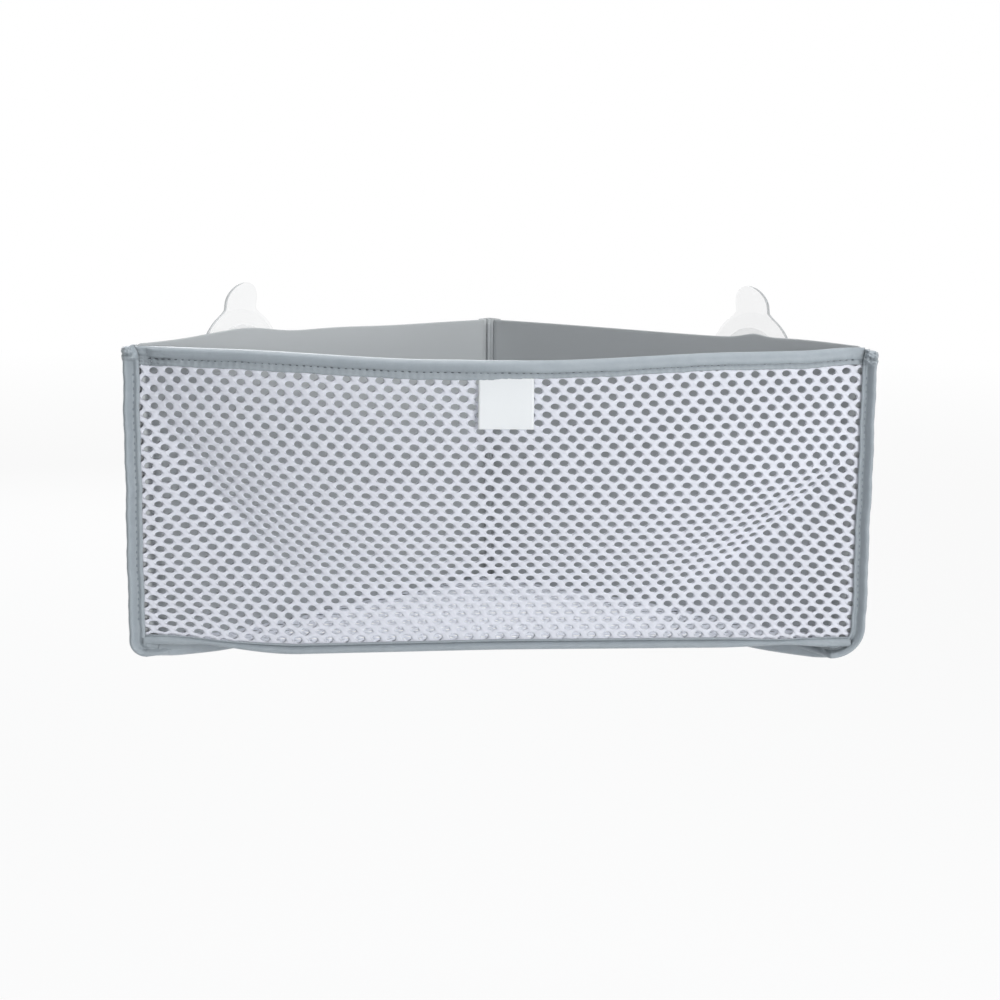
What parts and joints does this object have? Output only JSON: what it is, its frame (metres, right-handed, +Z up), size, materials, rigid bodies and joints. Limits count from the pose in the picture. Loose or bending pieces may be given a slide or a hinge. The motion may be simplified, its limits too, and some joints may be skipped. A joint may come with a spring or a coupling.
{
  "type": "bath toy organizer",
  "caption": "Soft triangular corner bin for bath toys with a white net front and floor, padded grey back panels, grey binding tape and clear stick-on wall hooks.",
  "frame": {"origin": "On the vertical line where the two walls of the corner meet, level with the bin's underside", "axes": "+Z up along the wall corner, the net front faces -Y, +X to the right as seen from the front; each wall is a plane through the origin, turned 45 degrees from Y"},
  "size_m": [0.379, 0.2209, 0.1884],
  "materials": {
    "grey_fabric": "matte",
    "pale_foam": "matte",
    "white_net": "matte",
    "grey_tape": "satin",
    "grey_thread": "satin",
    "pale_label": "satin",
    "grey_webbing": "matte",
    "clear_film": "gloss",
    "clear_hook": "gloss",
    "white_glue": "satin"
  },
  "bodies": {
    "wall_hooks": {"left_wall_film": "clear_film", "left_wall_glue": "white_glue", "left_hook": "clear_hook", "right_wall_film": "clear_film", "right_wall_glue": "white_glue", "right_hook": "clear_hook"},
    "bin": {"left_panel_fabric": "grey_fabric", "right_panel_fabric": "grey_fabric", "left_panel_foam": "pale_foam", "right_panel_foam": "pale_foam", "front_net": "white_net", "floor_net": "white_net", "rim_binding": "grey_tape", "left_corner_binding": "grey_tape", "right_corner_binding": "grey_tape", "front_floor_binding": "grey_tape", "left_floor_binding": "grey_tape", "right_floor_binding": "grey_tape", "back_seam_tape": "grey_tape", "inner_seam_tape": "grey_tape", "rim_thread": "grey_thread", "left_corner_thread": "grey_thread", "right_corner_thread": "grey_thread", "front_floor_thread": "grey_thread", "left_floor_thread": "grey_thread", "right_floor_thread": "grey_thread", "left_strap_tack_rear": "grey_thread", "left_strap_tack_front": "grey_thread", "right_strap_tack_rear": "grey_thread", "right_strap_tack_front": "grey_thread", "label_tag": "pale_label", "left_strap": "grey_webbing", "right_strap": "grey_webbing"}
  },
  "joints": [
    {"name": "bin_lift", "type": "slide", "parent": "wall_hooks", "child": "bin", "axis": [0, 0, 1], "range_m": [0, 0.018]}
  ]
}
